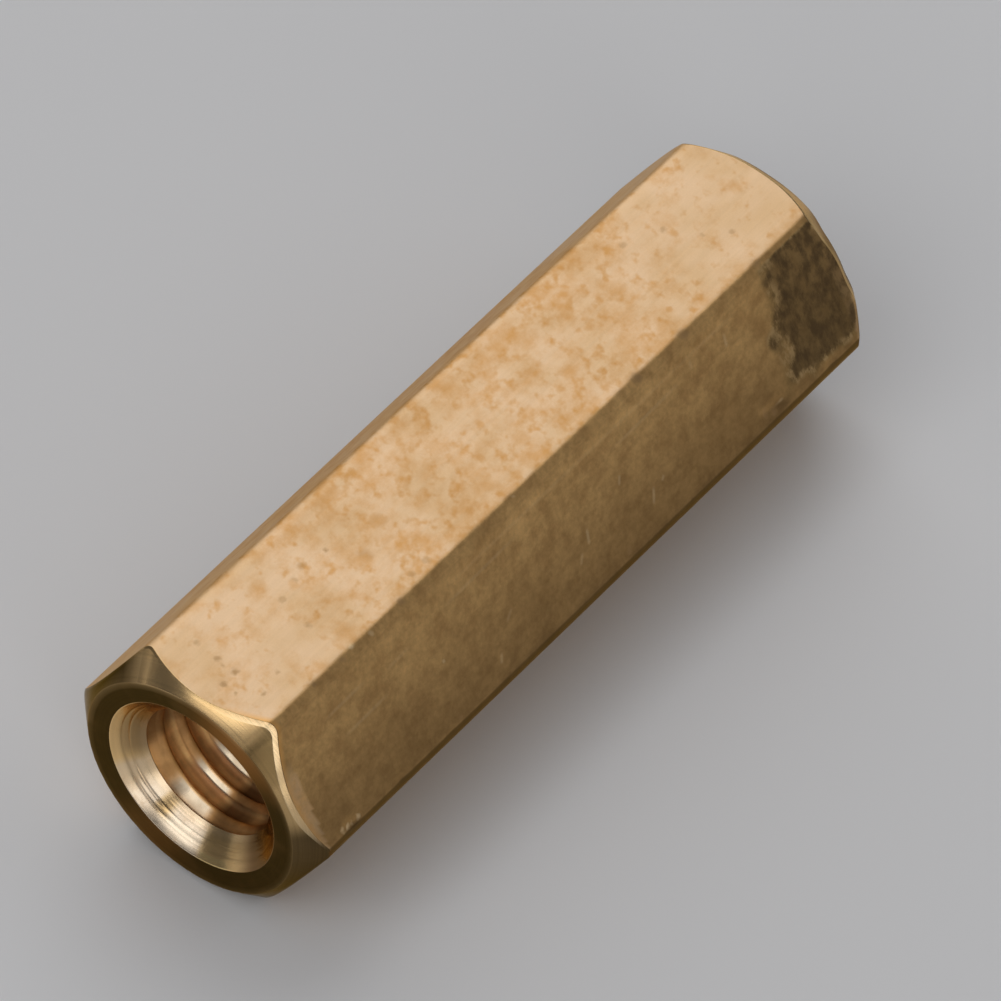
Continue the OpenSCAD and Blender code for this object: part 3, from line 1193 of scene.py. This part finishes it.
FLOOR_HALF = 1.2
FLOOR_Z = -1e-5
FLOOR_COLOUR = (0.84, 0.84, 0.85, 1)
SKY_COLOUR = (0.5, 0.5, 0.52, 1)
SKY_STRENGTH = 0.2
# Softboxes: azimuth and elevation in degrees, distance, width, height, radiance, roll in degrees
SOFTBOXES = {
    "key": (48, 38, 0.6, 0.58, 0.9, 0.92, 0),
    "fill": (-40, 33, 0.6, 0.64, 0.62, 0.25, 0),
    "top": (165, 80, 0.6, 0.44, 0.26, 0.45, 0),
    "end": (175, 47, 0.5, 0.43, 0.36, 1.2, 0),
    "low": (211, 9, 0.6, 0.22, 0.34, 1.05, 0),
    "edge": (238, 27, 0.6, 0.15, 0.66, 1.12, 25),
    "side": (117, 5, 0.6, 0.16, 0.1, 0.3, 0),
}
# The camera as it was fitted to the photo, in millimetres
CAMERA_AT = (-91.445, -63.897, 136.989)
CAMERA_RIGHT = (0.61713, -0.78533, 0.04914)
CAMERA_UP = (0.58624, 0.50054, 0.63701)
CAMERA_LENS = 382.665
CAMERA_FILM = 36.0
CAMERA_SEES = (0.01, 20.0)


def make_floor():
    """A plain pale floor, just under the standoff."""
    mesh = bpy.data.meshes.new("floor")
    signs = ((-1, -1), (1, -1), (1, 1), (-1, 1))
    corners = [(FLOOR_HALF * x, FLOOR_HALF * y, FLOOR_Z) for x, y in signs]
    mesh.from_pydata(corners, [], [(0, 1, 2, 3)])
    look = {"Base Color": FLOOR_COLOUR, "Roughness": 0.7, "Specular IOR Level": 0.2}
    mesh.materials.append(Shader("pale_floor").surface(look))
    return new_object("floor", mesh)


def softbox(name, azimuth, elevation, distance, width, height, radiance, roll):
    """A rectangular area light that faces the standoff. Its watts follow from its radiance."""
    data = bpy.data.lights.new(name, "AREA")
    data.shape = "RECTANGLE"
    data.size = width
    data.size_y = height
    data.energy = radiance * math.pi * width * height
    light = new_object(name, data)
    level, up = direction(elevation)
    towards = Vector((*direction(azimuth) * level, up))
    light.location = towards * distance
    turn = towards.to_track_quat("Z", "Y") @ Quaternion((0, 0, 1), math.radians(roll))
    light.rotation_euler = turn.to_euler()


def make_camera():
    data = bpy.data.cameras.new("camera")
    data.sensor_width = CAMERA_FILM
    data.lens = CAMERA_LENS
    data.clip_start, data.clip_end = CAMERA_SEES
    camera = new_object("camera", data)
    right = Vector(CAMERA_RIGHT).normalized()
    back = right.cross(Vector(CAMERA_UP)).normalized()
    turned = Matrix((right, back.cross(right), back)).transposed().to_4x4()
    camera.matrix_world = Matrix.Translation(Vector(CAMERA_AT) * MM) @ turned
    return camera


floor = make_floor()

world = bpy.data.worlds.new("studio")
world.use_nodes = True
sky = world.node_tree.nodes["Background"]
sky.inputs["Color"].default_value = SKY_COLOUR
sky.inputs["Strength"].default_value = SKY_STRENGTH
bpy.context.scene.world = world

for name, settings in SOFTBOXES.items():
    softbox(name + "_softbox", *settings)

bpy.context.scene.camera = make_camera()
bpy.context.scene.view_settings.view_transform = "Standard"

bpy.context.view_layer.update()
